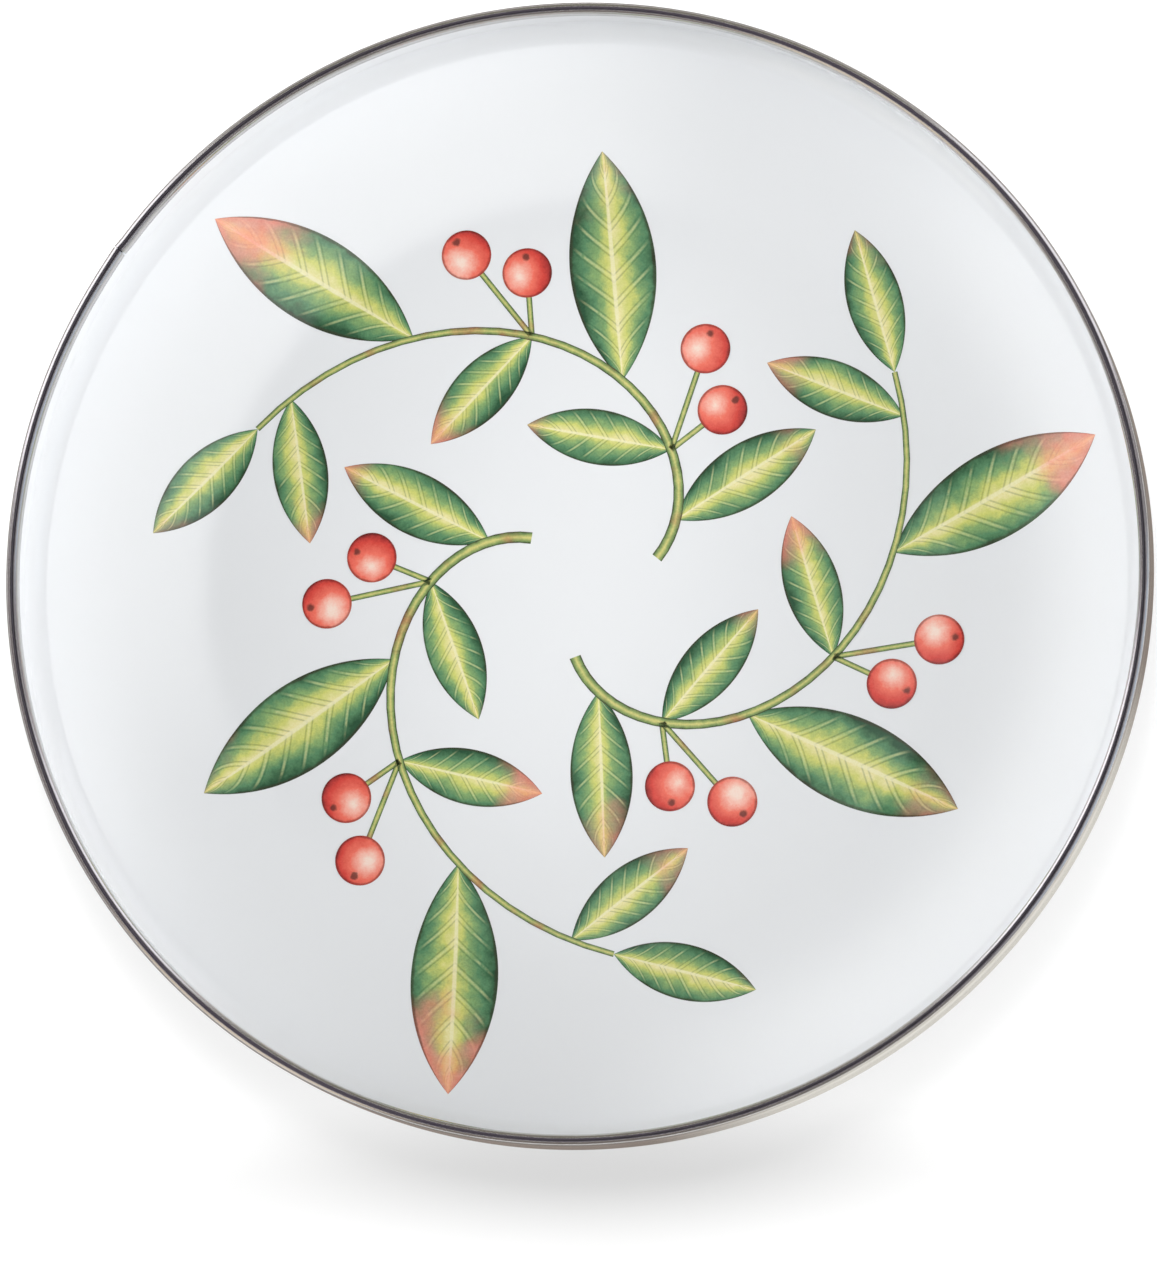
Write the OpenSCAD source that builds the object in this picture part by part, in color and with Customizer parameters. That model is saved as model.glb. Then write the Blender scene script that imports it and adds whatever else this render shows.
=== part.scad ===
// Enamel sandwich plate: pressed steel dish, glass coats, crimped steel rim band and fired-on prints.
// Sizes in mm, angles in degrees. The plate lies flat on z = 0 with its axis on Z.

/* [Plate] */

// Diameter over the rim band
plate_d = 216; // [200:1:240]
// Diameter of the flat base
base_d = 140; // [110:1:146]
// Radius of the turn from the base into the border, on the face
cove_r = 30; // [12:1:45]
// Rise of the border above level where it leaves the cove
border_angle = 6; // [2:0.5:9]
// Rise of the border above level where it meets the lip
border_end_angle = 15; // [12:0.5:24]
// Radius of the turn from the border into the lip, on the face
lip_r = 5; // [3:0.25:8]
// Rise of the lip above level
lip_angle = 90; // [80:0.5:90]
// Length of the straight lip
lip_len = 9; // [8.6:0.1:12.4]

/* [Sheet and coats] */

// Thickness of the pressed steel sheet
steel_t = 0.7; // [0.5:0.05:1]
// Thickness of each ground coat
ground_t = 0.15; // [0.1:0.01:0.25]
// Thickness of each white coat
white_t = 0.25; // [0.15:0.01:0.35]

/* [Rim band] */

// Thickness of the band strip
band_t = 0.4; // [0.25:0.05:0.6]
// Depth of the band's outer leg below the lip edge
band_leg_out = 8.4; // [2:0.1:8.6]
// Depth of the band's inner leg below the lip edge
band_leg_in = 1.8; // [1.2:0.1:4.2]
// Bearing of the butt seam, from +X towards +Y
seam_bearing = 144; // [0:1:359]
// Width of the gap left at the butt seam
seam_gap = 0.3; // [0.1:0.05:1]

/* [Prints] */

// Thickness of the fired colour
print_t = 0.08; // [0.06:0.01:0.12]
// Bearing of the first sprig's foot
sprig_bearing = 20; // [0:1:359]
// Stem's distance from the plate's axis at its foot
stem_r_foot = 14; // [12:0.5:18]
// Distance from the stem's tip to the start of the lip's turn
stem_tip_margin = 32; // [30:0.5:38]
// Width of the stem at its foot
stem_w = 2.2; // [1.2:0.1:3]
// Width of the stem at its tip
stem_tip_w = 1.1; // [0.6:0.1:1.6]
// Length of an outer leaf
leaf_l = 44; // [34:0.5:45]
// Width of an outer leaf
leaf_w = 16.5; // [10:0.5:17]
// Length of the outer leaf by the foot
foot_leaf_l = 31.5; // [24:0.5:32]
// Width of the outer leaf by the foot
foot_leaf_w = 12; // [8:0.5:12.5]
// Length of an inner leaf and of the tip leaf
small_leaf_l = 28; // [22:0.5:28.5]
// Width of an inner leaf and of the tip leaf
small_leaf_w = 10.5; // [7:0.5:11]
// Lean of an outer leaf away from the stem
outer_lean = 44; // [40:1:46]
// Lean of an inner leaf away from the stem
inner_lean = 60; // [54:1:64]
// Diameter of a berry
berry_d = 9.5; // [6:0.5:10]
// Length of the short stalk of a pair
stalk_short = 7.5; // [7:0.5:8.5]
// Length of the long stalk of a pair
stalk_long = 15.5; // [14:0.5:16]
// Width of a stalk
stalk_w = 1.1; // [0.6:0.1:1.6]

/* [Hidden] */

$fn = 96;
cove_steps = 6;
border_steps = 6;
lip_steps = 18;
crown_steps = 24;
stem_steps = 24;
sprig_count = 3;
sprig_sweep = 134;
// Places up the stem from its foot to its tip, and the lean of the two berries of a pair
leaf_count = 6;
first_leaf = 0.7;
short_lean = 72;
long_lean = 38;

total_t = steel_t + 2 * (ground_t + white_t);
crown_r = total_t / 2 + band_t;
base_r = base_d / 2;

// Layer boundaries, as heights above the underside measured square to the sheet
back_ground_at = white_t;
steel_at = back_ground_at + ground_t;
face_ground_at = steel_at + steel_t;
face_white_at = face_ground_at + ground_t;
face_at = total_t;
print_at = face_at + print_t;

// Turn centres, found so that the band's outside comes to plate_d
function along(a) = [cos(a), sin(a)];
function outward(a) = [sin(a), -cos(a)];
mid = total_t / 2;
lip_reach = (lip_r + mid) * (sin(lip_angle) - sin(border_end_angle)) + lip_len * cos(lip_angle);
border_reach = plate_d / 2 - crown_r - base_r - (cove_r + mid) * sin(border_angle) - lip_reach;
border_r = border_reach / (sin(border_end_angle) - sin(border_angle)) - mid;
cove_c = [base_r, face_at + cove_r];
border_c = cove_c + (cove_r - border_r) * outward(border_angle);
lip_c = border_c + (border_r - lip_r) * outward(border_end_angle);

// Points along the dish at one height above its underside. Each turn leaves out its own start.
function turn(c, r, a0, a1, n) = [for (i = [1:n]) c + r * outward(a0 + (a1 - a0) * i / n)];
function lip_end(h) =
    lip_c + (lip_r + face_at - h) * outward(lip_angle) + lip_len * along(lip_angle);
function floor_line(h) = concat(
    [[0, h], [base_r, h]],
    turn(cove_c, cove_r + face_at - h, 0, border_angle, cove_steps),
    turn(border_c, border_r + face_at - h, border_angle, border_end_angle, border_steps)
);
function dish_line(h) = concat(
    floor_line(h),
    turn(lip_c, lip_r + face_at - h, border_end_angle, lip_angle, lip_steps),
    [lip_end(h)]
);
function backwards(p) = [for (i = [len(p) - 1:-1:0]) p[i]];

// Band section, drawn with the lip edge's middle at the origin and the lip along -Y
function bend(r) = [for (i = [0:crown_steps]) r * along(180 * i / crown_steps)];
seam_turn = seam_gap / (PI * plate_d) * 360;

// Sprig stem: its tip keeps its distance from the lip, and a share from 0 to 1
// up the stem gives its place, its heading and its half width
stem_r_tip = lip_c[0] + lip_r * sin(border_end_angle) - stem_tip_margin;
function stem_at(f) =
    (stem_r_foot + (stem_r_tip - stem_r_foot) * f) * along(sprig_sweep * f);
function stem_way(f) =
    let (d = stem_at(f + 0.01) - stem_at(f - 0.01)) atan2(d[1], d[0]);
function stem_half(f) = (stem_w + (stem_tip_w - stem_w) * f) / 2;
function stem_edge(f, side) = stem_at(f) + side * stem_half(f) * outward(stem_way(f));

// Leaves stand in turn on the outer and the inner side of the stem, with a berry pair across from
// each inner leaf but the last
function leaf_place(i) = (i + first_leaf) / leaf_count;
outer_leaves = [0:2:leaf_count - 1];
inner_leaves = [1:2:leaf_count - 1];
berry_pairs = [1:2:leaf_count - 2];

// One layer of the dish between two heights above the underside
module layer(h0, h1) {
    rotate_extrude()
        polygon(concat(dish_line(h0), backwards(dish_line(h1))));
}

module steel_blank() {
    color([0.42, 0.43, 0.45]) layer(steel_at, face_ground_at);
}

module ground_coat_face() {
    color([0.09, 0.11, 0.2]) layer(face_ground_at, face_white_at);
}

module ground_coat_back() {
    color([0.09, 0.11, 0.2]) layer(back_ground_at, steel_at);
}

module white_coat_face() {
    color([0.9, 0.91, 0.93]) layer(face_white_at, face_at);
}

module white_coat_back() {
    color([0.9, 0.91, 0.93]) layer(0, back_ground_at);
}

// Folded strip that grips both sides of the lip, open at the butt seam
module rim_band() {
    color([0.72, 0.71, 0.69])
        rotate([0, 0, seam_bearing + seam_turn / 2])
            rotate_extrude(angle = 360 - seam_turn)
                translate(lip_end(mid))
                    rotate(lip_angle - 90)
                        polygon(concat(
                            [[crown_r, -band_leg_out]],
                            bend(crown_r),
                            [[-crown_r, -band_leg_in], [-mid, -band_leg_in]],
                            backwards(bend(mid)),
                            [[mid, -band_leg_out]]
                        ));
}

// Fired colour: an outline carried down onto the face
module fired(k) {
    intersection() {
        rotate_extrude()
            polygon(concat(floor_line(face_at), backwards(floor_line(print_at))));
        rotate([0, 0, sprig_bearing + 360 / sprig_count * (k - 1)])
            linear_extrude(height = plate_d)
                children();
    }
}

// Almond outline from two arcs, with its foot at the origin and its tip on +X
module almond(l, w) {
    r = (l * l + w * w) / (4 * w);
    intersection() {
        translate([l / 2, r - w / 2]) circle(r);
        translate([l / 2, w / 2 - r]) circle(r);
    }
}

module stem_line() {
    outer = [for (i = [0:stem_steps]) stem_edge(i / stem_steps, 1)];
    inner = [for (i = [0:stem_steps]) stem_edge(i / stem_steps, -1)];
    polygon(concat(outer, backwards(inner)));
}

// Moves its children to a leaf place, turned away from the stem by an angle
module at_place(f, lean) {
    translate(stem_at(f))
        rotate(stem_way(f) + lean)
            children();
}

module berry_outlines() {
    for (i = berry_pairs) {
        at_place(leaf_place(i), -short_lean)
            translate([stalk_short + berry_d / 2, 0]) circle(berry_d / 2);
        at_place(leaf_place(i), -long_lean)
            translate([stalk_long + berry_d / 2, 0]) circle(berry_d / 2);
    }
}

// Each stalk runs a little way under its berry
module branch_outlines() {
    stem_line();
    for (i = berry_pairs) {
        at_place(leaf_place(i), -short_lean)
            translate([0, -stalk_w / 2]) square([stalk_short + berry_d / 8, stalk_w]);
        at_place(leaf_place(i), -long_lean)
            translate([0, -stalk_w / 2]) square([stalk_long + berry_d / 8, stalk_w]);
    }
}

module stem_outlines() {
    difference() {
        union() branch_outlines();
        berry_outlines();
    }
}

module leaf_outlines() {
    difference() {
        union() {
            for (i = outer_leaves)
                at_place(leaf_place(i), -outer_lean)
                    if (i == 0) almond(foot_leaf_l, foot_leaf_w);
                    else almond(leaf_l, leaf_w);
            for (i = inner_leaves)
                at_place(leaf_place(i), inner_lean)
                    almond(small_leaf_l, small_leaf_w);
            at_place(1, 0) almond(small_leaf_l, small_leaf_w);
        }
        branch_outlines();
        berry_outlines();
    }
}

module stem_print(k) {
    color([0.3, 0.38, 0.2]) fired(k) stem_outlines();
}

module leaf_print(k) {
    color([0.38, 0.55, 0.34]) fired(k) leaf_outlines();
}

module berry_print(k) {
    color([0.9, 0.42, 0.34]) fired(k) berry_outlines();
}

steel_blank();
ground_coat_face();
ground_coat_back();
white_coat_face();
white_coat_back();
rim_band();
stem_print(1);  // stem_print_1
leaf_print(1);  // leaf_print_1
berry_print(1);  // berry_print_1
stem_print(2);  // stem_print_2
leaf_print(2);  // leaf_print_2
berry_print(2);  // berry_print_2
stem_print(3);  // stem_print_3
leaf_print(3);  // leaf_print_3
berry_print(3);  // berry_print_3
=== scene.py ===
import math
import random

import bpy
from mathutils import Matrix, Vector


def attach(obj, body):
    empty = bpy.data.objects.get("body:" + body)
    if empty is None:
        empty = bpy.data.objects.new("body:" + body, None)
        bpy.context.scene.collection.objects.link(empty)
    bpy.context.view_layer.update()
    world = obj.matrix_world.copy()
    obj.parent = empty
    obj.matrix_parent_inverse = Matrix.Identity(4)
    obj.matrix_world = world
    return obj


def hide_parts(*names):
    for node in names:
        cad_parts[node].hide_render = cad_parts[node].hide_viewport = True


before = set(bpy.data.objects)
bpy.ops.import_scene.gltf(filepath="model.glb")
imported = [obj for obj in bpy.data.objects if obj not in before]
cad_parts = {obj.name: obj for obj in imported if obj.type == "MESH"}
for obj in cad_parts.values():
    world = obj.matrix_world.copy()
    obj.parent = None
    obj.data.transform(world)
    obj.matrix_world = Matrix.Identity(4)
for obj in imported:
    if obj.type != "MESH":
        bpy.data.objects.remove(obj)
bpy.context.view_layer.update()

# Sizes of the plate in millimetres and degrees, as the solids have them
MM = 0.001
PLATE_D = 216.0
SHEET_T = 1.5
GROUND_TOP = 1.25
BACK_WHITE_TOP = 0.25
COVE_R = 30.0
COVE_CENTRE = (70.0, 31.5)
BORDER_ANGLE = 6.0
BORDER_END_ANGLE = 15.0
BORDER_R = 189.63077
BORDER_CENTRE = (53.31404, 190.25629)
LIP_R = 5.0
LIP_ANGLE = 90.0
LIP_LEN = 9.0
LIP_CENTRE = (101.10000, 11.91667)
BAND_EDGE = (106.85, 20.91667)
BAND_T = 0.36
BAND_EASE = 0.11
EASE_BEND = 0.3
LEG_OUT = 8.4
LEG_IN = 1.8
SEAM_BEARING = 144.0
SEAM_GAP = 0.3
SEAM_TURN = SEAM_GAP / (math.pi * PLATE_D) * 360.0
# One end of the strip springs out: degrees past the seam, and how far out, which add up
SPRINGS = ((1, 0.06), (2, 0.04), (3, 0.03), (4, 0.02), (6, 0.01))

# Sizes of the sprigs in millimetres and degrees
SPRIG_BEARING = 20.0
SPRIG_COUNT = 3
SPRIG_SWEEP = 134.0
STEM_FOOT_R = 14.0
STEM_TIP_R = 70.3941
STEM_W = 2.2
STEM_TIP_W = 1.1
STALK_W = 1.1
BERRY_D = 9.5
LEAF_RATIO = 2.667
OUTER_LEAN = -44.0
INNER_LEAN = 60.0
FIRST_LEAF = 31.5
OUTER_LEAF = 44.0
INNER_LEAF = 28.0
TIP_LEAF = 28.0
LEAF_PLACES = [(i + 0.7) / 6.0 for i in range(6)]
# Lean, length and start of the two stalks of a pair: the second starts further out, so that they
# share no edge
STALKS = ((-72.0, 7.5, 0.0), (-38.0, 15.5, 0.2))
FILM = 0.036
LEAF_LIFT = 0.004
STEM_LIFT = 0.02
BERRY_LIFT = 0.034
ABOVE_ALL = 40.0

# Fineness of the meshes
TURN_STEPS = 360
FLAT_RINGS = (0.0, 8.0, 24.0, 48.0)
COVE_STEPS = 8
BORDER_STEPS = 14
LIP_STEPS = 30
CROWN_STEPS = 28
FOLD_STEPS = 12
LEAF_GRID = (14, 36)
STEM_GRID = (4, 30)
STALK_GRID = (2, 10)
BERRY_SIDES = 48
BERRY_CUTS = 3
COAT_SMOOTH = 35
EDGE_SMOOTH = 40
POINT_MERGE = 1e-7
MESH_MERGE = 1e-6
THINNEST = 1e-5
TONE_SEED = 7


# Working with pieces

def deselect():
    active = bpy.context.view_layer.objects.active
    if active is not None and active.mode != "OBJECT":
        bpy.ops.object.mode_set(mode="OBJECT")
    bpy.ops.object.select_all(action="DESELECT")


def take(piece):
    deselect()
    bpy.context.view_layer.objects.active = piece
    piece.select_set(True)


def edit(piece):
    take(piece)
    bpy.ops.object.mode_set(mode="EDIT")


def close_edit():
    bpy.ops.object.mode_set(mode="OBJECT")


def pick(piece, wanted):
    """Selects the vertices that a test on index and place accepts, and goes into edit mode."""
    take(piece)
    mesh = piece.data
    chosen = [bool(wanted(v.index, v.co)) for v in mesh.vertices]
    mesh.polygons.foreach_set("select", [False] * len(mesh.polygons))
    mesh.edges.foreach_set("select", [False] * len(mesh.edges))
    mesh.vertices.foreach_set("select", chosen)
    bpy.ops.object.mode_set(mode="EDIT")
    bpy.ops.mesh.select_mode(type="VERT")


def name_piece(piece, name):
    piece.name = name
    piece.data.name = name


def finish_modifier(piece, kind, **settings):
    take(piece)
    modifier = piece.modifiers.new(kind.title(), kind)
    for key, value in settings.items():
        setattr(modifier, key, value)
    bpy.ops.object.modifier_apply(modifier=modifier.name)


def close_mesh(piece, angle):
    """Merges doubles, turns the faces outwards and smooths what bends less than an angle."""
    edit(piece)
    bpy.ops.mesh.select_all(action="SELECT")
    bpy.ops.mesh.remove_doubles(threshold=MESH_MERGE)
    bpy.ops.mesh.normals_make_consistent(inside=False)
    close_edit()
    take(piece)
    bpy.ops.object.shade_smooth_by_angle(angle=math.radians(angle))


def settle(piece):
    take(piece)
    bpy.ops.object.transform_apply(location=True, rotation=True, scale=True)


def copy_of(piece):
    take(piece)
    bpy.ops.object.duplicate(linked=False)
    return bpy.context.view_layer.objects.active


def join(pieces):
    deselect()
    for piece in pieces:
        piece.select_set(True)
    bpy.context.view_layer.objects.active = pieces[0]
    bpy.ops.object.join()
    return pieces[0]


def turned_piece(name, outline, start, sweep, capped):
    """Draws a section point by point in a plane through the axis, then spins it about the axis."""
    deselect()
    turn = Matrix.Rotation(math.radians(start), 3, "Z")
    places = [turn @ Vector((r * MM, 0.0, z * MM)) for r, z in outline]
    bpy.ops.mesh.primitive_plane_add(size=MM, location=places[0])
    piece = bpy.context.object
    name_piece(piece, name)
    settle(piece)
    edit(piece)
    bpy.ops.mesh.select_all(action="SELECT")
    bpy.ops.mesh.merge(type="CENTER")
    for here, there in zip(places, places[1:]):
        bpy.ops.mesh.extrude_region_move(TRANSFORM_OT_translate={"value": there - here})
    bpy.ops.mesh.select_all(action="SELECT")
    bpy.ops.mesh.remove_doubles(threshold=POINT_MERGE)
    if capped:
        bpy.ops.mesh.select_all(action="SELECT")
        bpy.ops.mesh.duplicate()
        bpy.ops.mesh.edge_face_add()
        bpy.ops.mesh.select_all(action="INVERT")
    bpy.ops.mesh.spin(
        steps=TURN_STEPS, angle=math.radians(sweep), center=(0, 0, 0), axis=(0, 0, 1)
    )
    if capped:
        bpy.ops.mesh.edge_face_add()
    close_edit()
    return piece


# Sections of the dish, the coats and the band

def heading(angle):
    a = math.radians(angle)
    return math.cos(a), math.sin(a)


def steps_of(whole, count):
    return [whole * i / count for i in range(count + 1)]


def arc(centre, radius, first, last, steps):
    points = []
    for i in range(steps + 1):
        c, s = heading(first + (last - first) * i / steps)
        points.append((centre[0] + radius * s, centre[1] - radius * c))
    return points


def dish_line(height):
    """One line along the dish at a height above its underside, from the axis to the lip's edge."""
    depth = SHEET_T - height
    flat = [(r, height) for r in FLAT_RINGS]
    cove = arc(COVE_CENTRE, COVE_R + depth, 0.0, BORDER_ANGLE, COVE_STEPS)
    border = arc(BORDER_CENTRE, BORDER_R + depth, BORDER_ANGLE, BORDER_END_ANGLE, BORDER_STEPS)
    lip = arc(LIP_CENTRE, LIP_R + depth, BORDER_END_ANGLE, LIP_ANGLE, LIP_STEPS)
    c, s = heading(LIP_ANGLE)
    edge = [(lip[-1][0] + LIP_LEN * c, lip[-1][1] + LIP_LEN * s)]
    return flat + cove + border[1:] + lip[1:] + edge


def coat(name, low, high):
    outline = dish_line(high) + dish_line(low)[::-1]
    piece = turned_piece(name, outline, 0.0, 360.0, False)
    close_mesh(piece, COAT_SMOOTH)
    return piece


def band_outline():
    """The folded strip's section: a crown over the lip's edge and two legs with eased edges."""
    inner = SHEET_T / 2.0
    outer = inner + BAND_T
    ease = BAND_EASE
    bend = ease * EASE_BEND
    crown = steps_of(math.pi, CROWN_STEPS)
    fold = steps_of(math.pi, FOLD_STEPS)[::-1]
    points = [(outer, -LEG_OUT + ease)]
    points += [(outer * math.cos(a), outer * math.sin(a)) for a in crown]
    points += [(-outer, -LEG_IN + ease)]
    points += [(-outer + bend, -LEG_IN + bend), (-outer + ease, -LEG_IN)]
    points += [(-inner, -LEG_IN)]
    points += [(inner * math.cos(a), inner * math.sin(a)) for a in fold]
    points += [(inner, -LEG_OUT), (outer - ease, -LEG_OUT)]
    points += [(outer - bend, -LEG_OUT + bend), (outer, -LEG_OUT + ease)]
    c, s = heading(LIP_ANGLE - 90.0)
    return [(BAND_EDGE[0] + x * c - y * s, BAND_EDGE[1] + x * s + y * c) for x, y in points]


def past_seam(degrees):
    """Tests for a place on the end of the strip just past the seam."""
    first = math.radians(SEAM_BEARING)
    last = math.radians(degrees)
    return lambda index, place: 0.0 < math.atan2(place.y, place.x) - first < last


def make_band():
    start = SEAM_BEARING + SEAM_TURN / 2.0
    piece = turned_piece("steel_rim", band_outline(), start, 360.0 - SEAM_TURN, True)
    c, s = heading(SEAM_BEARING)
    for degrees, spring in SPRINGS:
        pick(piece, past_seam(degrees))
        bpy.ops.transform.translate(value=(c * spring * MM, s * spring * MM, 0.0))
        close_edit()
    close_mesh(piece, EDGE_SMOOTH)
    return piece


# The sprigs

def stem_at(share):
    reach = STEM_FOOT_R + (STEM_TIP_R - STEM_FOOT_R) * share
    c, s = heading(SPRIG_SWEEP * share)
    return Vector((reach * c, reach * s, 0.0)) * MM


def stem_way(share):
    step = stem_at(share + 0.01) - stem_at(share - 0.01)
    return math.atan2(step.y, step.x)


def put(piece, share, lean, out):
    """Turns a flat piece to lean away from the stem, and moves it out along that way."""
    way = stem_way(share) + math.radians(lean)
    along = Vector((math.cos(way), math.sin(way), 0.0))
    piece.rotation_euler = (0.0, 0.0, way)
    piece.location = stem_at(share) + along * out * MM
    settle(piece)


def flat_grid(across, along):
    """A unit strip from 0 to 1 along X, centred on Y, with its map running along and across it."""
    deselect()
    bpy.ops.mesh.primitive_grid_add(
        x_subdivisions=along, y_subdivisions=across, size=1.0, location=(0.5, 0.0, 0.0)
    )
    piece = bpy.context.object
    settle(piece)
    return piece


def grid_row(row, along):
    return lambda index, place: index % (along + 1) == row


def model_leaf():
    """One almond leaf of unit length, shaped row by row."""
    across, along = LEAF_GRID
    piece = flat_grid(across, along)
    width = 1.0 / LEAF_RATIO
    radius = (1.0 + width * width) / (4.0 * width)
    for row in range(along + 1):
        x = row / along
        half = math.sqrt(radius * radius - (x - 0.5) ** 2) - (radius - width / 2.0)
        pick(piece, grid_row(row, along))
        bpy.ops.transform.resize(
            value=(1.0, max(half * 2.0, THINNEST), 1.0), center_override=(x, 0.0, 0.0)
        )
        close_edit()
    return piece


def model_stem():
    """The stem of a sprig: each row of a strip is sized, turned and moved to its place."""
    across, along = STEM_GRID
    piece = flat_grid(across, along)
    for row in range(along + 1):
        share = row / along
        width = STEM_W + (STEM_TIP_W - STEM_W) * share
        middle = (share, 0.0, 0.0)
        pick(piece, grid_row(row, along))
        bpy.ops.transform.resize(value=(1.0, width * MM, 1.0), center_override=middle)
        bpy.ops.transform.rotate(value=-stem_way(share), orient_axis="Z", center_override=middle)
        bpy.ops.transform.translate(value=stem_at(share) - Vector(middle))
        close_edit()
    return piece


def model_stalk(share, lean, length, start):
    stalk = flat_grid(*STALK_GRID)
    stalk.scale = ((length + BERRY_D / 8.0) * MM, STALK_W * MM, 1.0)
    settle(stalk)
    put(stalk, share, lean, start)
    return stalk


def model_berry(share, lean, length):
    deselect()
    bpy.ops.mesh.primitive_circle_add(
        vertices=BERRY_SIDES, radius=BERRY_D / 2.0 * MM, fill_type="TRIFAN"
    )
    berry = bpy.context.object
    edit(berry)
    bpy.ops.mesh.select_all(action="SELECT")
    bpy.ops.mesh.subdivide(number_cuts=BERRY_CUTS)
    close_edit()
    put(berry, share, lean, length + BERRY_D / 2.0)
    return berry


def set_tone(piece, tone):
    """One number all over a piece, which its finish reads."""
    mark = piece.data.attributes.new("tone", "FLOAT", "POINT")
    mark.data.foreach_set("value", [tone] * len(piece.data.vertices))


def lay_on_face(piece, face, lift):
    """Lays a flat outline down on the face and gives it the thickness of fired colour."""
    piece.location = (0.0, 0.0, ABOVE_ALL * MM)
    settle(piece)
    finish_modifier(
        piece, "SHRINKWRAP", target=face, wrap_method="PROJECT", use_project_z=True,
        use_negative_direction=True, use_positive_direction=False, offset=0.0,
    )
    piece.location = (0.0, 0.0, lift * MM)
    settle(piece)
    finish_modifier(piece, "SOLIDIFY", thickness=FILM * MM, offset=1.0)
    close_mesh(piece, EDGE_SMOOTH)


def make_sprigs(face):
    """Models one sprig in three layers, and sets it round the plate. Gives piece, node and slot."""
    draw = random.Random(TONE_SEED)
    leaf = model_leaf()
    leaves = []
    plan = [(LEAF_PLACES[0], OUTER_LEAN, FIRST_LEAF)]
    plan += [(LEAF_PLACES[i], OUTER_LEAN, OUTER_LEAF) for i in (2, 4)]
    plan += [(LEAF_PLACES[i], INNER_LEAN, INNER_LEAF) for i in (1, 3, 5)]
    plan += [(1.0, 0.0, TIP_LEAF)]
    for share, lean, length in plan:
        piece = copy_of(leaf)
        piece.scale = (length * MM, length * MM, 1.0)
        settle(piece)
        put(piece, share, lean, 0.0)
        set_tone(piece, draw.random())
        leaves.append(piece)
    bpy.data.objects.remove(leaf)
    leaves = join(leaves)

    branches = [model_stem()]
    berries = []
    for i in (1, 3):
        for lean, length, start in STALKS:
            branches.append(model_stalk(LEAF_PLACES[i], lean, length, start))
            berry = model_berry(LEAF_PLACES[i], lean, length)
            set_tone(berry, draw.random())
            berries.append(berry)
    branches = join(branches)
    berries = join(berries)

    made = []
    layers = (
        (leaves, "leaf_colours", "leaf_print", "leaf_colour", LEAF_LIFT),
        (branches, "stem_colours", "stem_print", "stem_colour", STEM_LIFT),
        (berries, "berry_colours", "berry_print", "berry_colour", BERRY_LIFT),
    )
    for piece, name, node, slot, lift in layers:
        lay_on_face(piece, face, lift)
        for k in range(1, SPRIG_COUNT + 1):
            one = piece if k == SPRIG_COUNT else copy_of(piece)
            bearing = SPRIG_BEARING + 360.0 / SPRIG_COUNT * (k - 1)
            one.rotation_euler = (0.0, 0.0, math.radians(bearing))
            settle(one)
            name_piece(one, f"{name}_{k}")
            made.append((one, f"{node}_{k}", slot))
    return made


# Nodes of finishes

class Value:
    """A socket of a finish, with arithmetic that adds Math nodes."""

    def __init__(self, finish, socket):
        self.finish = finish
        self.socket = socket

    def math(self, operation, *values):
        return self.finish.node("Math", {"operation": operation}, dict(enumerate(values)))

    def __add__(self, other):
        return self.math("ADD", self, other)

    __radd__ = __add__

    def __sub__(self, other):
        return self.math("SUBTRACT", self, other)

    def __rsub__(self, other):
        return self.math("SUBTRACT", other, self)

    def __mul__(self, other):
        return self.math("MULTIPLY", self, other)

    __rmul__ = __mul__

    def __truediv__(self, other):
        return self.math("DIVIDE", self, other)

    def __pow__(self, other):
        return self.math("POWER", self, other)

    def __abs__(self):
        return self.math("ABSOLUTE", self)

    def larger(self, other):
        return self.math("MAXIMUM", self, other)

    def zigzag(self, high):
        return self.math("PINGPONG", self, high)

    def rise(self, low, high):
        """0 below the low end, 1 above the high end, and smooth between."""
        return self.finish.node(
            "MapRange",
            {"interpolation_type": "SMOOTHSTEP"},
            {"Value": self, "From Min": low, "From Max": high},
        )

    def fall(self, low, high):
        return 1.0 - self.rise(low, high)


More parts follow.
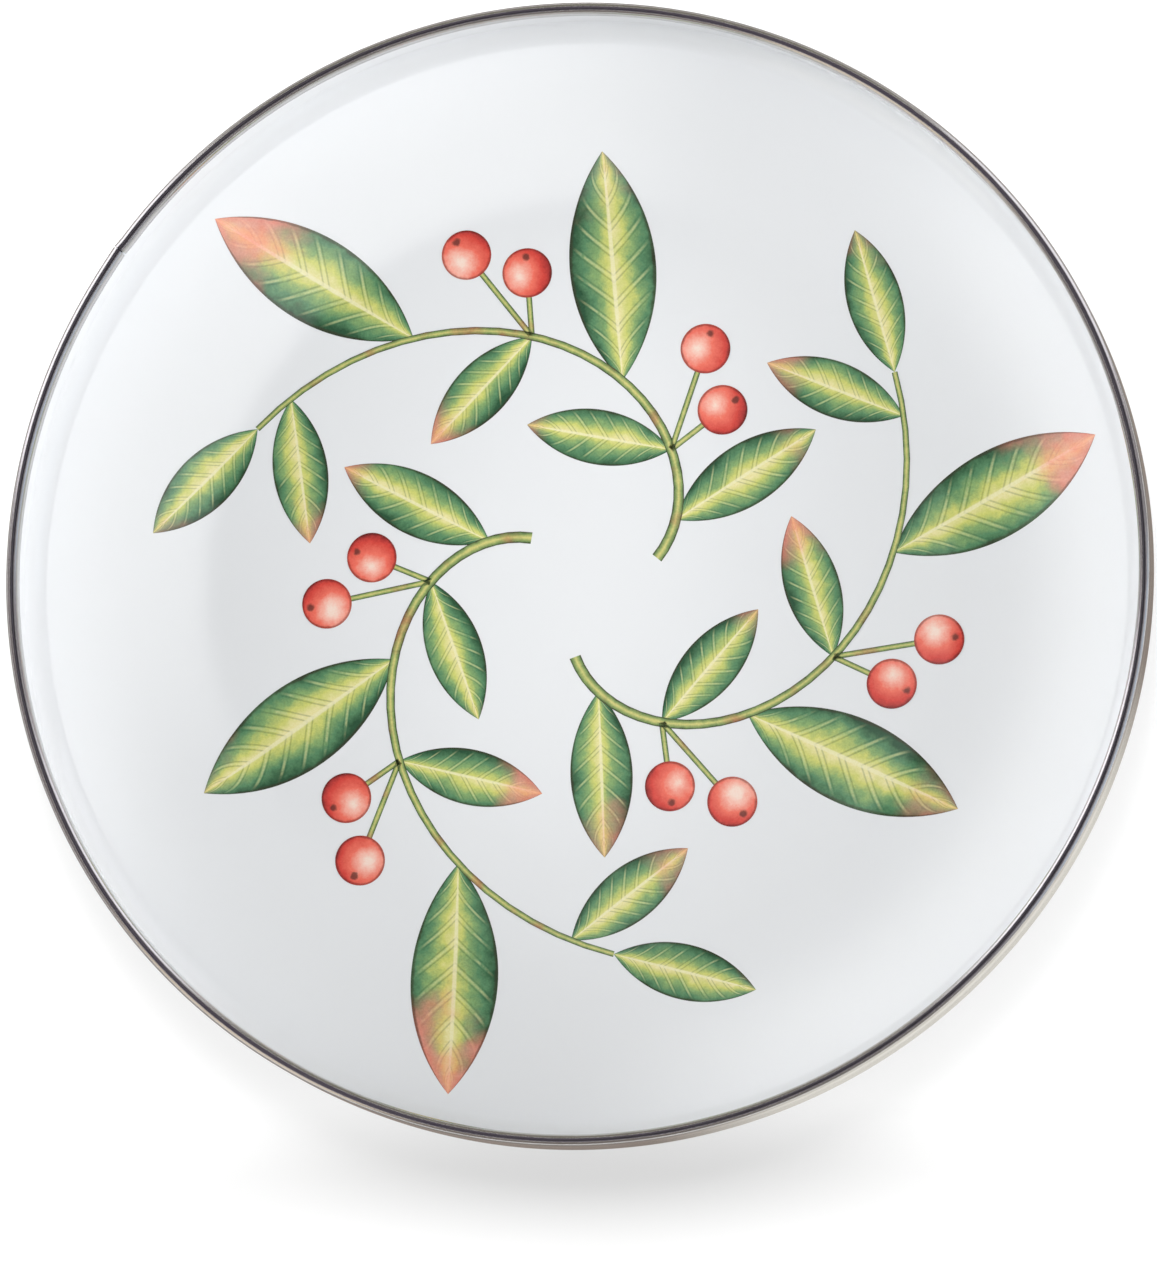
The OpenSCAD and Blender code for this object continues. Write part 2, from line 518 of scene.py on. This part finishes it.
class Finish:
    """Builds the nodes of one material, or of the world."""

    def __init__(self, owner):
        owner.use_nodes = True
        self.owner = owner
        self.tree = owner.node_tree
        self.tree.nodes.clear()

    def node(self, kind, settings=None, values=None, out=0):
        made = self.tree.nodes.new("ShaderNode" + kind)
        for key, value in (settings or {}).items():
            setattr(made, key, value)
        for key, value in (values or {}).items():
            socket = self.socket(made.inputs, key)
            if isinstance(value, Value):
                self.tree.links.new(value.socket, socket)
            else:
                socket.default_value = value
        if len(made.outputs) == 0:
            return made
        return Value(self, self.socket(made.outputs, out))

    @staticmethod
    def socket(sockets, key):
        if isinstance(key, int):
            return sockets[key]
        for socket in sockets:
            if key in (socket.identifier, socket.name):
                return socket
        raise KeyError(key)

    def mix(self, share, first, second, blend="MIX"):
        values = {"Factor_Float": share, "A_Color": first, "B_Color": second}
        for key in ("A_Color", "B_Color"):
            if isinstance(values[key], tuple):
                values[key] = (*values[key], 1.0)
        settings = {"data_type": "RGBA", "blend_type": blend}
        return self.node("Mix", settings, values, "Result_Color")

    def ramp(self, value, stops):
        made = self.node("ValToRGB", {}, {"Fac": value}, "Color")
        ramp = made.socket.node.color_ramp
        while len(ramp.elements) > 1:
            ramp.elements.remove(ramp.elements[-1])
        for i, (place, colour) in enumerate(stops):
            stop = ramp.elements[0] if i == 0 else ramp.elements.new(place)
            stop.position = place
            stop.color = (*colour, 1.0)
        return made

    def noise(self, place, scale, detail=2.0, roughness=0.5):
        values = {"Vector": place, "Scale": scale, "Detail": detail, "Roughness": roughness}
        return self.node("TexNoise", {}, values)

    def place(self):
        return self.node("TexCoord", {}, {}, "Object")

    def parts(self, vector):
        made = self.node("SeparateXYZ", {}, {"Vector": vector})
        outputs = made.socket.node.outputs
        return [Value(self, outputs[i]) for i in range(3)]

    def mapped(self):
        """The two numbers of the piece's map, along it and across it."""
        return self.parts(self.node("TexCoord", {}, {}, "UV"))[:2]

    def tone(self):
        return self.node("Attribute", {"attribute_name": "tone"}, {}, "Fac")

    def vector(self, x, y, z):
        return self.node("CombineXYZ", {}, {"X": x, "Y": y, "Z": z})

    def bump(self, height, depth, strength):
        return self.node("Bump", {}, {"Height": height, "Distance": depth, "Strength": strength})

    def surface(self, values):
        shader = self.node("BsdfPrincipled", {}, values)
        self.node("OutputMaterial", {}, {"Surface": shader})
        return self.owner


def new_finish(name):
    return Finish(bpy.data.materials.new(name))


def length(x, y):
    return (x * x + y * y) ** 0.5


# Enamel and steel

GLASS_IOR = 1.5
ENAMEL = ((0.79, 0.805, 0.827), (0.82, 0.835, 0.857))
ENAMEL_LIP_BLUE = (0.45, 0.52, 0.66)
ENAMEL_SPECK = (0.10, 0.09, 0.09)
ENAMEL_WORN = (0.50, 0.50, 0.50)
SPECK_SCALE = 42.0
RIM_STEEL = ((0.57, 0.555, 0.545), (0.68, 0.665, 0.655))
RIM_SMEAR = (0.48, 0.45, 0.425)
SHEET_STEEL = ((0.33, 0.335, 0.35), (0.47, 0.475, 0.49))
SHEET_DULL = (0.28, 0.27, 0.265)
GROUND = ((0.012, 0.016, 0.04), (0.035, 0.045, 0.10))
GROUND_FLECK = (0.10, 0.12, 0.18)


def white_enamel(name, back):
    f = new_finish(name)
    place = f.place()
    x, y, z = f.parts(place)
    colour = f.mix(f.noise(place, 14.0, 3.0), *ENAMEL)
    # The enamel turns bluish towards the top of the lip, just under the band
    lip_blue = z.rise(0.0172, 0.0192) * (0.5 + 0.5 * f.noise(place, 180.0, 2.0))
    colour = f.mix(lip_blue * 0.4, colour, ENAMEL_LIP_BLUE)
    # A few tiny dark specks from the firing
    cells = {"Vector": place, "Scale": SPECK_SCALE}
    speck = f.node("TexVoronoi", {}, cells, "Distance")
    chance = f.parts(f.node("TexVoronoi", {}, cells, "Color"))[0]
    spot = speck.fall(0.006, 0.013) * chance.rise(0.90, 0.92)
    colour = f.mix(spot * 0.75, colour, ENAMEL_SPECK)
    if back:
        # Dull patches round the edge of the base, where it meets the table
        reach = length(x, y)
        worn = reach.rise(0.060, 0.066) * reach.fall(0.067, 0.072)
        worn = worn * f.noise(place, 45.0, 4.0, 0.6).rise(0.55, 0.8)
        colour = f.mix(worn * 0.35, colour, ENAMEL_WORN)
    peel = f.noise(place, 330.0, 2.0) + f.noise(place, 60.0, 2.0) * 2.5
    return f.surface({
        "Base Color": colour,
        "Roughness": 0.07 + 0.05 * f.noise(place, 90.0, 3.0),
        "IOR": GLASS_IOR,
        "Normal": f.bump(peel, 0.00002, 0.35),
    })


def rim_steel():
    f = new_finish("rim_steel_bright")
    place = f.place()
    x, y, z = f.parts(place)
    reach = length(x, y)
    # Fine lines drawn along the strip
    level = z * 5200.0 + reach * 4100.0
    drawn = f.noise(f.vector(x / reach * 18.0, y / reach * 18.0, level), 1.0, 3.0, 0.6)
    smear = f.noise(place, 130.0, 3.0, 0.6)
    colour = f.mix(drawn, *RIM_STEEL)
    colour = f.mix(smear.rise(0.5, 0.8) * 0.35, colour, RIM_SMEAR)
    return f.surface({
        "Base Color": colour,
        "Metallic": 1.0,
        "Roughness": 0.13 + 0.09 * drawn + 0.06 * smear,
        "Normal": f.bump(drawn, 0.000012, 0.5),
    })


def sheet_steel():
    f = new_finish("sheet_steel_pickled")
    place = f.place()
    x, y, z = f.parts(place)
    rolled = f.noise(f.vector(x * 60.0, y * 1400.0, z * 1400.0), 1.0, 3.0, 0.6)
    cloud = f.noise(place, 70.0, 4.0, 0.6)
    colour = f.mix(rolled, *SHEET_STEEL)
    colour = f.mix(cloud.rise(0.5, 0.8) * 0.4, colour, SHEET_DULL)
    return f.surface({
        "Base Color": colour,
        "Metallic": 1.0,
        "Roughness": 0.34 + 0.14 * cloud,
        "Normal": f.bump(rolled, 0.00002, 0.5),
    })


def ground_enamel():
    f = new_finish("ground_enamel_dark")
    place = f.place()
    cloud = f.noise(place, 160.0, 4.0, 0.6)
    fleck = f.noise(place, 2600.0, 2.0).rise(0.62, 0.72)
    colour = f.mix(cloud, *GROUND)
    colour = f.mix(fleck * 0.5, colour, GROUND_FLECK)
    return f.surface({
        "Base Color": colour,
        "Roughness": 0.18 + 0.14 * cloud,
        "Normal": f.bump(cloud, 0.00002, 0.5),
    })


# Fired colours of the prints, each a row of washes from pale to dark and the touches over it

LEAF_WASHES = (
    (0.0, (0.80, 0.74, 0.36)),
    (0.25, (0.62, 0.64, 0.17)),
    (0.48, (0.25, 0.40, 0.15)),
    (0.72, (0.10, 0.25, 0.12)),
    (1.0, (0.025, 0.085, 0.04)),
)
LEAF_VEIN = (0.74, 0.74, 0.36)
LEAF_SHADE = (0.03, 0.10, 0.045)
LEAF_RIB = (0.84, 0.80, 0.50)
LEAF_FLUSH = ((0.86, 0.12, 0.085), (0.93, 0.46, 0.36))
LEAF_LINE = (0.045, 0.03, 0.018)
STEM_WASHES = (
    (0.0, (0.62, 0.58, 0.20)),
    (0.3, (0.32, 0.40, 0.13)),
    (0.65, (0.10, 0.19, 0.07)),
    (1.0, (0.05, 0.04, 0.02)),
)
STEM_BLUSH = (0.55, 0.14, 0.09)
STEM_LINE = (0.05, 0.03, 0.018)
BERRY_WASHES = (
    (0.0, (0.95, 0.72, 0.62)),
    (0.2, (0.93, 0.45, 0.36)),
    (0.45, (0.86, 0.17, 0.115)),
    (0.75, (0.66, 0.06, 0.045)),
    (1.0, (0.26, 0.02, 0.02)),
)
BERRY_TAIL = (0.06, 0.025, 0.02)
BERRY_LINE = (0.09, 0.018, 0.015)
PAPER_GRAIN = ((0.25, (0.25, 0.25, 0.25)), (0.75, (0.8, 0.8, 0.8)))


def print_gloss(f, colour, grain_share):
    """The prints share the fired gloss of the enamel and a faint grain of colour."""
    grain = f.noise(f.place(), 2600.0, 2.0, 0.6)
    return f.surface({
        "Base Color": f.mix(grain_share, colour, f.ramp(grain, PAPER_GRAIN), "OVERLAY"),
        "Roughness": 0.10 + 0.06 * grain,
        "IOR": GLASS_IOR,
        "Normal": f.bump(grain, 0.00001, 0.3),
    })


def leaf_colours():
    f = new_finish("leaf_watercolour")
    place = f.place()
    u, v = f.mapped()
    tone = f.tone()
    wash = f.noise(place, 90.0, 3.0, 0.55)
    bleed = f.noise(place, 380.0, 3.0, 0.6)
    side = v * 2.0 - 1.0
    off = abs(side)
    depth = off * 0.9 + (bleed - 0.5) * 0.5 + (wash - 0.5) * 0.7 + side.rise(-0.1, 0.1) * 0.16
    colour = f.ramp(depth, LEAF_WASHES)
    # Side veins run from the midrib towards the tip
    slant = (u * 9.0 - off * 1.5).zigzag(0.5)
    vein = slant.fall(0.02, 0.10) * off.fall(0.6, 0.95) * bleed.rise(0.3, 0.55)
    colour = f.mix(vein * 0.45, colour, LEAF_VEIN)
    shade = abs(slant - 0.14).fall(0.01, 0.07) * off.fall(0.7, 1.0)
    colour = f.mix(shade * 0.35, colour, LEAF_SHADE)
    rib = off.fall(0.025, 0.07) * u.fall(0.86, 0.98)
    colour = f.mix(rib * 0.75, colour, LEAF_RIB)
    # A coral flush towards the tip, stronger on some leaves
    flush = (u + (wash - 0.5) * 0.9 + (tone - 0.5) * 0.5).rise(0.62, 1.0)
    flush = flush * (0.45 + 0.5 * tone)
    colour = f.mix(flush, colour, f.mix(bleed, *LEAF_FLUSH))
    line = (off + (bleed - 0.5) * 0.10).rise(0.90, 0.96) * (0.5 + 0.5 * wash)
    colour = f.mix(line * 0.8, colour, LEAF_LINE)
    return print_gloss(f, colour, 0.28)


def stem_colours():
    f = new_finish("stem_watercolour")
    place = f.place()
    v = f.mapped()[1]
    wash = f.noise(place, 130.0, 3.0, 0.55)
    bleed = f.noise(place, 600.0, 3.0, 0.6)
    off = abs(v * 2.0 - 1.0)
    depth = off * 0.8 + (bleed - 0.5) * 0.5 + (wash - 0.5) * 0.5
    colour = f.ramp(depth, STEM_WASHES)
    colour = f.mix(wash.rise(0.52, 0.72) * 0.55, colour, STEM_BLUSH)
    line = (off + (bleed - 0.5) * 0.3).rise(0.72, 0.95)
    colour = f.mix(line * 0.7, colour, STEM_LINE)
    return print_gloss(f, colour, 0.28)


def berry_colours():
    f = new_finish("berry_watercolour")
    place = f.place()
    u, v = f.mapped()
    tone = f.tone()
    wash = f.noise(place, 170.0, 3.0, 0.55)
    bleed = f.noise(place, 620.0, 3.0, 0.6)
    x = u * 2.0 - 1.0
    y = v * 2.0 - 1.0
    shine = length(x + 0.12, y - 0.34)
    depth = shine * 0.72 + (bleed - 0.5) * 0.28 + (wash - 0.5) * 0.4 + (tone - 0.5) * 0.15
    colour = f.ramp(depth, BERRY_WASHES)
    # A dark star where the flower was, at the end away from the stalk
    tail = (length(x - 0.66, y) + (bleed - 0.5) * 0.3).fall(0.08, 0.2)
    colour = f.mix(tail * 0.8, colour, BERRY_TAIL)
    line = (length(x, y) + (bleed - 0.5) * 0.12).rise(0.88, 0.96) * (0.55 + 0.45 * wash)
    colour = f.mix(line * 0.75, colour, BERRY_LINE)
    return print_gloss(f, colour, 0.25)


def dress(piece, finish):
    piece.data.materials.clear()
    piece.data.materials.append(finish)


# Stage, in metres and degrees

VIEW_TILT = 10.5
VIEW_WAY = -45.0
VIEW_FAR = 2.0
FRAME_HIGH = 0.239
AIM_HIGH = 0.012
AIM_DROP = 0.0111
AIM_LEFT = 0.0004
SENSOR = 36.0
PLATE_MIDDLE = (0.0, 0.0, 0.01)
WHITE = (1.0, 1.0, 1.0)

FLOOR_SIZE = 8.0
FLOOR_GREY = (0.30, 0.30, 0.30, 1.0)
FLOOR_GLOW = 0.71
# Depth and sideways shift of the shade painted into the floor's glow
PAINTED_SHADE_DEPTH = 0.22
PAINTED_SHADE_LEFT = 0.025

# The light of the room itself
ROOM_LEAST = 0.10
ROOM_FRONT = 0.33
ROOM_ABOVE = 1.53
ROOM_FOCUS = 6.0
TINT_ABOVE = (1.0, 1.0, 0.972)
TINT_FRONT = (0.95, 0.975, 1.03)

# Place, size and power of each lamp
LAMPS = {
    "lamp_right": ((0.945, -0.11, 0.12), (0.6, 0.25), 9.2),
    "lamp_left": ((-0.92, 0.22, 0.14), (0.6, 0.25), 7.1),
    "lamp_above": ((0.001, 0.012, 0.11), (0.04, 0.18), 0.0735),
    "lamp_floor": ((0.0, 0.35, 0.66), (0.3, 0.58), 8.0),
}

# Place, size and colour of the cards round the plate, which its steel mirrors: dark ones overhead
# and on four sides, and paler ones low at the corners
ROUND_CARDS = (
    ("card_above", (0.0, 0.0, 1.25), (1.9, 1.9), (0.095, 0.078, 0.115)),
    ("card_behind", (0.0, 1.15, 0.55), (2.3, 1.15), (0.26, 0.245, 0.20)),
    ("card_front", (0.0, -1.15, 0.62), (2.3, 1.0), (0.22, 0.195, 0.18)),
    ("card_side_right", (1.15, 0.0, 0.55), (2.3, 1.15), (0.29, 0.265, 0.27)),
    ("card_side_left", (-1.15, 0.0, 0.55), (2.3, 1.15), (0.24, 0.21, 0.215)),
    ("card_low_right", (1.05, -0.25, 0.42), (0.9, 0.75), (0.62, 0.70, 0.82)),
    ("card_low_left", (-0.90, 0.55, 0.42), (0.55, 0.75), (1.9, 1.85, 2.0)),
    ("card_low_far", (0.76, 0.74, 0.42), (0.6, 0.75), (1.4, 1.38, 1.5)),
    ("card_low_near", (-0.76, -0.74, 0.42), (0.6, 0.75), (1.0, 0.88, 0.72)),
)

# Height, colour, way, end and spread of the cards that lie on the floor round the plate
FLOOR_CARD_SIZE = (0.9, 0.9)
FLOOR_CARD_START = (0.0, 0.1)
ALL_ROUND = (-2.0, -1.5)
FLOOR_CARDS = (
    ("card_floor", 0.0004, (0.40, 0.385, 0.37), 0.0, (0.16, 0.30), ALL_ROUND),
    ("card_under_rim", 0.0006, (0.34, 0.29, 0.255), 0.0, (0.114, 0.15), ALL_ROUND),
    ("card_corner", 0.0008, (0.96, 0.935, 0.86), -46.0, (0.16, 0.30), (0.78, 0.96)),
)

# Height, strength, way and start of the white cards overhead that the enamel alone mirrors. Its
# well mirrors their middle, and its border what lies out from there
GLOSS_CARD_SIZE = (1.7, 1.7)
GLOSS_MIDDLE = (-0.131, 0.131)
GLOSS_END = (0.50, 0.60)
GLOSS_SPREAD = (0.3, 0.75)
GLOSS_CARDS = (
    ("card_right", 1.00, 2.4, -40.0, (0.09, 0.13)),
    ("card_far_right", 0.99, 3.0, -25.0, (0.18, 0.40)),
    ("card_left", 0.98, 2.7, 165.0, (0.16, 0.34)),
)


def place_camera():
    c, s = heading(VIEW_WAY)
    tilt = math.radians(VIEW_TILT)
    back = Vector((c * math.sin(tilt), s * math.sin(tilt), math.cos(tilt)))
    right = Vector((0.0, 1.0, 0.0)).cross(back).normalized()
    up = back.cross(right)
    target = Vector((0.0, 0.0, AIM_HIGH)) - up * AIM_DROP - right * AIM_LEFT
    deselect()
    bpy.ops.object.camera_add()
    camera = bpy.context.object
    camera.name = "photo_camera"
    camera.data.sensor_width = SENSOR
    camera.data.lens = SENSOR * VIEW_FAR / FRAME_HIGH
    camera.data.clip_start = 0.05
    camera.data.clip_end = 60.0
    turn = Matrix((right, up, back)).transposed().to_4x4()
    camera.matrix_world = Matrix.Translation(target + back * VIEW_FAR) @ turn
    bpy.context.scene.camera = camera


def seen(f):
    """1 for what the camera sees directly, in a mirror or through glass."""
    outputs = f.node("LightPath").socket.node.outputs
    names = ("Is Camera Ray", "Is Glossy Ray", "Is Transmission Ray")
    direct, mirrored, through = [Value(f, outputs[name]) for name in names]
    return direct.larger(mirrored).larger(through)


def make_floor():
    """A pale floor, with a shade painted into its glow on the plate's near side, a little to the
    left.
    """
    deselect()
    bpy.ops.mesh.primitive_plane_add(size=FLOOR_SIZE, location=(0.0, 0.0, 0.0))
    floor = bpy.context.object
    name_piece(floor, "pale_floor")
    f = new_finish("pale_floor")
    x, y, _ = f.parts(f.place())
    # Painted shade: the glow is lowered near the plate's near side, a little to the left
    near = length(x + PAINTED_SHADE_LEFT, y).fall(0.12, 0.24)
    below = y.fall(-0.113, -0.096) * (0.6 + 0.4 * y.rise(-0.128, -0.114))
    level = seen(f) * (FLOOR_GLOW - PAINTED_SHADE_DEPTH * near * below)
    matt = f.node("BsdfDiffuse", {}, {"Color": FLOOR_GREY})
    glow = f.node("Emission", {}, {"Color": (*WHITE, 1.0), "Strength": level})
    both = f.node("AddShader", {}, {0: matt, 1: glow})
    f.node("OutputMaterial", {}, {"Surface": both})
    dress(floor, f.owner)
    return floor


def face_plate(thing, place):
    way = Vector(PLATE_MIDDLE) - Vector(place)
    thing.rotation_euler = way.to_track_quat("-Z", "Y").to_euler()


def soft_lamp(name, place, size, power):
    deselect()
    bpy.ops.object.light_add(type="AREA", location=place)
    lamp = bpy.context.object
    lamp.name = name
    lamp.data.shape = "RECTANGLE"
    lamp.data.size, lamp.data.size_y = size
    lamp.data.energy = power
    face_plate(lamp, place)
    lamp.visible_camera = False
    lamp.visible_glossy = False
    return lamp


def out_from(f, centre, way, start, end, spread):
    """1 on the part of a card that lies out from a centre one way, between two distances."""
    x, y, _ = f.parts(f.place())
    x = x - centre[0]
    y = y - centre[1]
    reach = length(x, y)
    c, s = heading(way)
    facing = (x * c + y * s) / reach
    return reach.rise(*start) * reach.fall(*end) * facing.rise(*spread)


def card(name, place, size, colour, strength=1.0, part=None):
    """A flat studio card that only shows in the gloss of the steel and the enamel."""
    deselect()
    bpy.ops.mesh.primitive_plane_add(size=1.0, location=place)
    piece = bpy.context.object
    name_piece(piece, name)
    face_plate(piece, place)
    piece.scale = (*size, 1.0)
    settle(piece)
    piece.visible_camera = False
    piece.visible_diffuse = False
    piece.visible_shadow = False
    f = new_finish(name)
    glow = f.node("Emission", {}, {"Color": (*colour, 1.0), "Strength": strength})
    if part:
        clear = f.node("BsdfTransparent")
        glow = f.node("MixShader", {}, {"Fac": out_from(f, *part), 1: clear, 2: glow})
    f.node("OutputMaterial", {}, {"Surface": glow})
    dress(piece, f.owner)
    return piece


def light_only(lights, name, pieces):
    """Keeps the light of some lamps or cards to a few pieces."""
    group = bpy.data.collections.new(name)
    for piece in pieces:
        group.objects.link(piece)
    for light in lights:
        light.light_linking.receiver_collection = group


def light_room():
    """Soft light from overhead and from the near side, and little from the far side."""
    world = bpy.data.worlds.new("studio")
    bpy.context.scene.world = world
    f = Finish(world)
    _, y, z = f.parts(f.node("TexCoord", {}, {}, "Generated"))
    front = ROOM_FRONT * (0.0 - y).larger(0.0)
    level = ROOM_LEAST + front + ROOM_ABOVE * z.larger(0.0) ** ROOM_FOCUS
    tint = f.mix(front / level, TINT_ABOVE, TINT_FRONT)
    room = f.node("Background", {}, {"Color": tint, "Strength": level})
    white = f.node("Background", {}, {"Color": (*WHITE, 1.0), "Strength": 1.0})
    both = f.node("MixShader", {}, {"Fac": seen(f), 1: room, 2: white})
    f.node("OutputWorld", {}, {"Surface": both})


def hang_lamps(floor):
    lamps = {name: soft_lamp(name, *settings) for name, settings in LAMPS.items()}
    light_only([lamps["lamp_floor"]], "lit_by_lamp_floor", [floor])


def set_cards(enamel):
    for name, place, size, colour in ROUND_CARDS:
        card(name, place, size, colour)
    for name, height, colour, way, end, spread in FLOOR_CARDS:
        part = ((0.0, 0.0), way, FLOOR_CARD_START, end, spread)
        card(name, (0.0, 0.0, height), FLOOR_CARD_SIZE, colour, 1.0, part)
    mirrored = []
    for name, height, strength, way, start in GLOSS_CARDS:
        part = (GLOSS_MIDDLE, way, start, GLOSS_END, GLOSS_SPREAD)
        mirrored.append(card(name, (0.0, 0.0, height), GLOSS_CARD_SIZE, WHITE, strength, part))
    light_only(mirrored, "mirrored_in_enamel", enamel)


# Building

place_camera()
face = coat("enamel_face", GROUND_TOP, SHEET_T)
back = coat("enamel_back", 0.0, BACK_WHITE_TOP)
band = make_band()
prints = make_sprigs(face)

dress(face, white_enamel("face_enamel", False))
dress(back, white_enamel("back_enamel", True))
dress(band, rim_steel())
looks = {
    "leaf_colour": leaf_colours(),
    "stem_colour": stem_colours(),
    "berry_colour": berry_colours(),
}
for piece, _, slot in prints:
    dress(piece, looks[slot])
for piece, node, slot in prints + [
    (face, "white_coat_face", "white_enamel"),
    (back, "white_coat_back", "white_enamel"),
    (band, "rim_band", "rim_steel"),
]:
    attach(piece, "root")
    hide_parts(node)

# The sheet and the ground coats keep their own meshes and are only dressed
dress(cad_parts["steel_blank"], sheet_steel())
ground = ground_enamel()
dress(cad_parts["ground_coat_face"], ground)
dress(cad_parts["ground_coat_back"], ground)

floor = make_floor()
light_room()
hang_lamps(floor)
set_cards([face] + [piece for piece, _, _ in prints])
bpy.context.scene.view_settings.view_transform = "Standard"
deselect()
